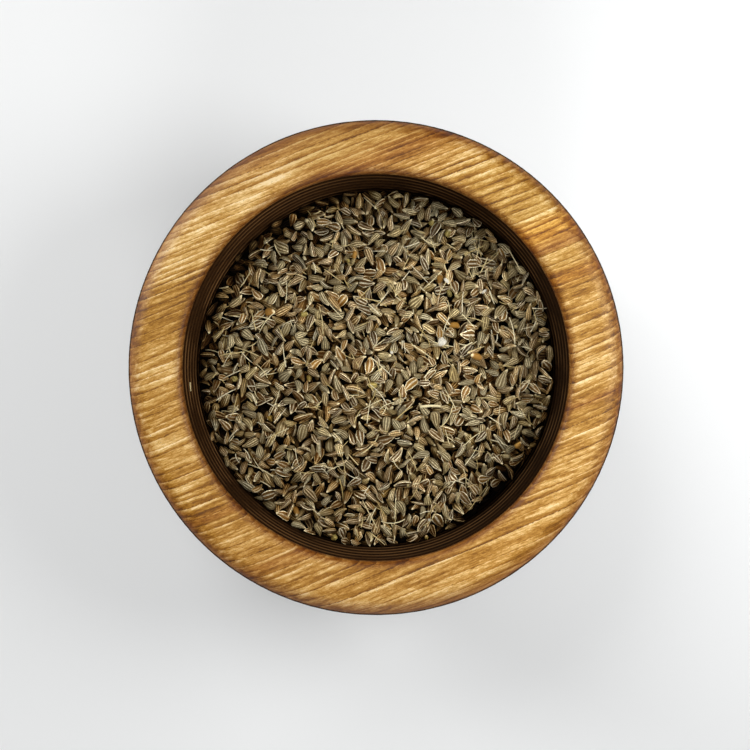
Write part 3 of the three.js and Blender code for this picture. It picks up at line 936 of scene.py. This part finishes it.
def looseStalks(ground, reach):
    rows = []
    for i in range(stalks["loose"]):
        radius = (reach - stalks["startGap"]) * math.sqrt(rng.random())
        angle = 2 * math.pi * rng.random()
        x, y = radius * math.cos(angle), radius * math.sin(angle)
        yaw = 2 * math.pi * rng.random()
        length = stalks["length"] * float(varied(stalks["lengths"]))
        thick = stalks["thickness"] * rng.uniform(*stalks["thicknesses"])
        end = math.hypot(x + length * math.cos(yaw), y + length * math.sin(yaw))
        if end > reach - stalks["endGap"]:
            yaw += math.pi
        row = layStalk(ground, x, y, yaw, length, thick, rng.normal(0, stalks["bend"]))
        rows.append(row)
        if i < stalks["forked"]:
            # a thinner, shorter branch leaves the stalk to one side
            share = rng.uniform(*stalks["forkAt"])
            px, py = x + share * length * math.cos(yaw), y + share * length * math.sin(yaw)
            turn = yaw + rng.choice((-1, 1)) * rng.uniform(*stalks["forkTurn"])
            rows.append((px, py, row[2] + share * row[4], turn, row[4] * stalks["forkLength"],
                         length * stalks["forkLength"], thick * stalks["forkThickness"],
                         stalks["bend"], row[8]))
    return rows


def heldStalks(ground, seeds, reach):
    rows = []
    onTop = np.bincount(ground["owner"][ground["owner"] >= 0], minlength=len(seeds))
    away = np.hypot(seeds[:, 1], seeds[:, 2]) < reach - stalks["heldGap"]
    showing = np.flatnonzero((onTop > stalks["heldCells"]) & away)
    for number in rng.choice(showing, stalks["held"], replace=False):
        _, x, y, z, yaw, su, _, _, length, _, _ = seeds[number]
        end = rng.choice((-1, 1)) * length * stalks["heldAt"]
        turn = yaw + (math.pi if end < 0 else 0) + rng.normal(0, stalks["heldTurn"])
        span = rng.uniform(*stalks["heldLength"])
        rows.append((x + end * math.cos(yaw), y + end * math.sin(yaw), z + end * su, turn,
                     span * rng.normal(*stalks["heldRise"]), span,
                     stalks["thickness"] * stalks["heldThickness"],
                     rng.normal(0, stalks["bend"]), rng.random()))
    return rows


def layStalks(ground, seeds):
    # rows are x, y, z, yaw, rise, length, thickness, bend and tone
    reach = wallRadius(heap["edgeHeight"])
    rows = looseStalks(ground, reach)
    rows += heldStalks(ground, seeds, reach)
    for (x0, y0), (x1, y1), thick in stalks["placed"]:
        yaw, length = math.atan2(y1 - y0, x1 - x0), math.hypot(x1 - x0, y1 - y0)
        bend = rng.normal(0, stalks["placedBend"])
        row = layStalk(ground, x0 * mm, y0 * mm, yaw, length * mm, thick * mm, bend)
        # the thickest is the least pale
        rows.append((*row[:8], 0.9 - 0.5 * max(0.0, thick - 0.4)))
    (x0, y0, z0), (x1, y1, z1), thick = stalks["onWall"]
    yaw, length = math.atan2(y1 - y0, x1 - x0), math.hypot(x1 - x0, y1 - y0)
    rows.append((x0 * mm, y0 * mm, z0 * mm, yaw, (z1 - z0) * mm, length * mm, thick * mm, 0, 0.5))
    return np.array(rows)


def stalkMesh(rows):
    bm = bmesh.new()
    bmesh.ops.create_cone(bm, cap_ends=True, segments=5, radius1=1, radius2=0.7, depth=1)
    for share in (-0.25, 0, 0.25):
        everything = bm.verts[:] + bm.edges[:] + bm.faces[:]
        bmesh.ops.bisect_plane(bm, geom=everything, plane_co=(0, 0, share), plane_no=(0, 0, 1))
    shape, faces = takeShape(bm)
    x, y, z, yaw, rise, length, thick, bend, tone = rows.T
    n = len(rows)
    t = shape[:, 2] + 0.5
    bow = 4 * t * (1 - t)
    side = shape[:, 0] * thick[:, None] / 2 + bow * (bend * length)[:, None]
    up = shape[:, 1] * thick[:, None] / 2 + bow * (np.abs(bend) * length)[:, None] * 0.4
    local = np.stack([t * length[:, None], side, up], axis=2)
    co = placeCopies(local, frames(yaw, rise / length, np.zeros(n), np.zeros(n)), x, y, z)
    return joinedMesh("stalks", co, faces, {"tone": np.outer(tone, np.ones(len(shape))).ravel()})


def dryMaterial(name, tones, perMetre, shades, settings):
    # each bit has its own tone, and fine fibres make it lighter and darker
    material, tree = newMaterial(name)
    tone = addNode(tree, "ShaderNodeAttribute", {"attribute_name": "tone"}).outputs["Fac"]
    place = addNode(tree, "ShaderNodeTexCoord").outputs["Object"]
    fibres = addNode(tree, "ShaderNodeTexNoise", {"Scale": perMetre, "Detail": 2.0},
                     {"Vector": place}).outputs["Fac"]
    toned = addNode(tree, "ShaderNodeValToRGB", None, {"Fac": tone})
    setRamp(toned, tones)
    shade = addNode(tree, "ShaderNodeMapRange", {"From Min": 0.3, "From Max": 0.7, "To Min": shades[0],
                    "To Max": shades[1]}, {"Value": fibres}).outputs["Result"]
    colour = addNode(tree, "ShaderNodeVectorMath", {"operation": "SCALE"},
                     {0: toned.outputs["Color"], "Scale": shade}).outputs[0]
    surface = addNode(tree, "ShaderNodeBsdfPrincipled", settings, {"Base Color": colour})
    addNode(tree, "ShaderNodeOutputMaterial", None, {"Surface": surface.outputs["BSDF"]})
    return material


def stalkMaterial():
    # Dry umbel stalks: smooth straw, paler than the seeds, with fine darker lines.
    return dryMaterial("driedStalk", stalks["tones"], 2500.0, (0.78, 1.08),
                       {"Roughness": 0.7, "Specular IOR Level": 0.12})


scraps = {
    "count": 46,  # broken bits of stalk and husk on the heap
    "wallGap": 1.5 * mm,
    "size": 0.95 * mm,
    "sizes": (0.6, 1.5),  # the least and the most of it
    "lengths": (0.9, 1.6),
    "widths": (0.5, 0.9),
    "palest": 0.7,  # tone of those that don't stand out
    "thickness": 0.6,  # of the width
    "tilt": 0.3,
    "roughness": 0.16,
    # the pale ones that stand out, in millimetres: x, y, length, width, turn in degrees
    "placed": [(17.6, 21.8, 1.9, 1.1, -50), (27.2, 19.2, 1.9, 0.8, 40), (16.6, 6.4, 2.7, 2.3, 20),
               (13.6, -38.6, 1.1, 1.0, 0), (3.9, 3.8, 1.3, 0.8, -60)],
    "tones": [(0.0, "#8b7446"), (0.4, "#bfac77"), (0.7, "#d8cba2"), (1.0, "#ece6d4")],
}


def scrapMesh(ground):
    bm = bmesh.new()
    bmesh.ops.create_icosphere(bm, subdivisions=1, radius=0.5)
    shape, faces = takeShape(bm)
    n = scraps["count"]
    radius = (wallRadius(heap["edgeHeight"]) - scraps["wallGap"]) * np.sqrt(rng.random(n))
    angle = 2 * math.pi * rng.random(n)
    size = scraps["size"] * rng.uniform(*scraps["sizes"], n)
    loose = np.column_stack([
        radius * np.cos(angle), radius * np.sin(angle), size * rng.uniform(*scraps["lengths"], n),
        size * rng.uniform(*scraps["widths"], n), 2 * math.pi * rng.random(n),
        rng.random(n) * scraps["palest"],
    ])
    placed = [(x * mm, y * mm, a * mm, b * mm, math.radians(turn), 1)
              for x, y, a, b, turn in scraps["placed"]]
    x, y, length, width, yaw, tone = np.vstack([loose, placed]).T
    n = len(x)
    # each lies on the highest seed under it
    under = [groundAt(ground, x + 0.3 * length * dx, y + 0.3 * length * dy)
             for dx, dy in ((0, 0), (1, 0), (-1, 0), (0, 1), (0, -1))]
    z = np.max(under, axis=0) + width * 0.1
    axes = frames(yaw, rng.normal(0, scraps["tilt"], n), rng.normal(0, scraps["tilt"], n), np.zeros(n))
    local = shape * np.column_stack([length, width, width * scraps["thickness"]])[:, None]
    local *= 1 + scraps["roughness"] * rng.normal(size=(n, len(shape), 1))
    co = placeCopies(local, axes, x, y, z)
    return joinedMesh("scraps", co, faces, {"tone": np.outer(tone, np.ones(len(shape))).ravel()})


def scrapMaterial():
    # Bits of husk and pith: matt and papery, from tan to chalky white.
    return dryMaterial("brokenHusk", scraps["tones"], 3000.0, (0.75, 1.08), {"Roughness": 0.8, "IOR": 1.4})


def addHeap():
    addPiece("seedCore", coreMesh(), coreMaterial(), "aniseed")
    ground = newGround()
    seeds = settle(ground)
    stalkRows = layStalks(ground, seeds)
    onTop = np.zeros(len(seeds), bool)
    onTop[ground["owner"][ground["owner"] >= 0]] = True
    near = seeds[:, 3] > groundAt(ground, seeds[:, 1], seeds[:, 2]) - pile["hidden"]
    seeds = seeds[onTop | near]
    print(f"{onTop.sum()} seeds show from above, {len(seeds)} are kept")
    for number, kind in enumerate(seedKinds):
        mesh = seedMesh(kind, seeds[seeds[:, 0] == number])
        addPiece(f"{kind}Seeds", mesh, seedMaterial(kind), "aniseed")
    addPiece("stalks", stalkMesh(stalkRows), stalkMaterial(), "aniseed")
    addPiece("scraps", scrapMesh(ground), scrapMaterial(), "aniseed")


studio = {
    "floor": "#f2f3f3",
    # soft round lamps: azimuth, elevation, distance, width, watts
    "lamps": {
        "left": (150, 20, 0.8, 0.3, 3.54),
        "back": (120, 45, 0.8, 0.4, 1.74),
        "front": (270, 30, 0.8, 0.4, 2.00),
        "overhead": (0, 90, 0.9, 0.4, 1.53),
        "nearRight": (10, 45, 0.3, 0.15, 0.49),
    },
    "ambient": 0.01,
    "floorReach": 1.5,  # metres from the bowl
}


def addStudio():
    scene = bpy.context.scene
    scene.view_settings.view_transform = "Standard"
    bm = bmesh.new()
    bmesh.ops.create_grid(bm, x_segments=1, y_segments=1, size=studio["floorReach"])
    mesh = bpy.data.meshes.new("floor")
    bm.to_mesh(mesh)
    bm.free()
    floor = bpy.data.objects.new("floor", mesh)
    scene.collection.objects.link(floor)
    material, tree = newMaterial("paleFloor")
    colour = fromHex(studio["floor"])
    surface = addNode(tree, "ShaderNodeBsdfPrincipled", {"Base Color": colour, "Roughness": 0.7})
    addNode(tree, "ShaderNodeOutputMaterial", None, {"Surface": surface.outputs["BSDF"]})
    mesh.materials.append(material)
    for name, (azimuth, elevation, distance, width, watts) in studio["lamps"].items():
        data = bpy.data.lights.new(name, "AREA")
        data.shape = "DISK"
        data.size = width
        data.energy = watts
        light = bpy.data.objects.new(name, data)
        turn, lift = math.radians(azimuth), math.radians(elevation)
        light.location = Vector((math.cos(turn) * math.cos(lift), math.sin(turn) * math.cos(lift),
                                 math.sin(lift))) * distance
        light.rotation_euler = light.location.to_track_quat("Z", "Y").to_euler()
        scene.collection.objects.link(light)
    world = bpy.data.worlds.new("world")
    scene.world = world
    world.use_nodes = True
    background = world.node_tree.nodes["Background"]
    background.inputs["Color"].default_value = fromHex("#ffffff")
    background.inputs["Strength"].default_value = studio["ambient"]
    print("floor and lamps are in place")


addCamera()
addBowl()
addHeap()
addStudio()
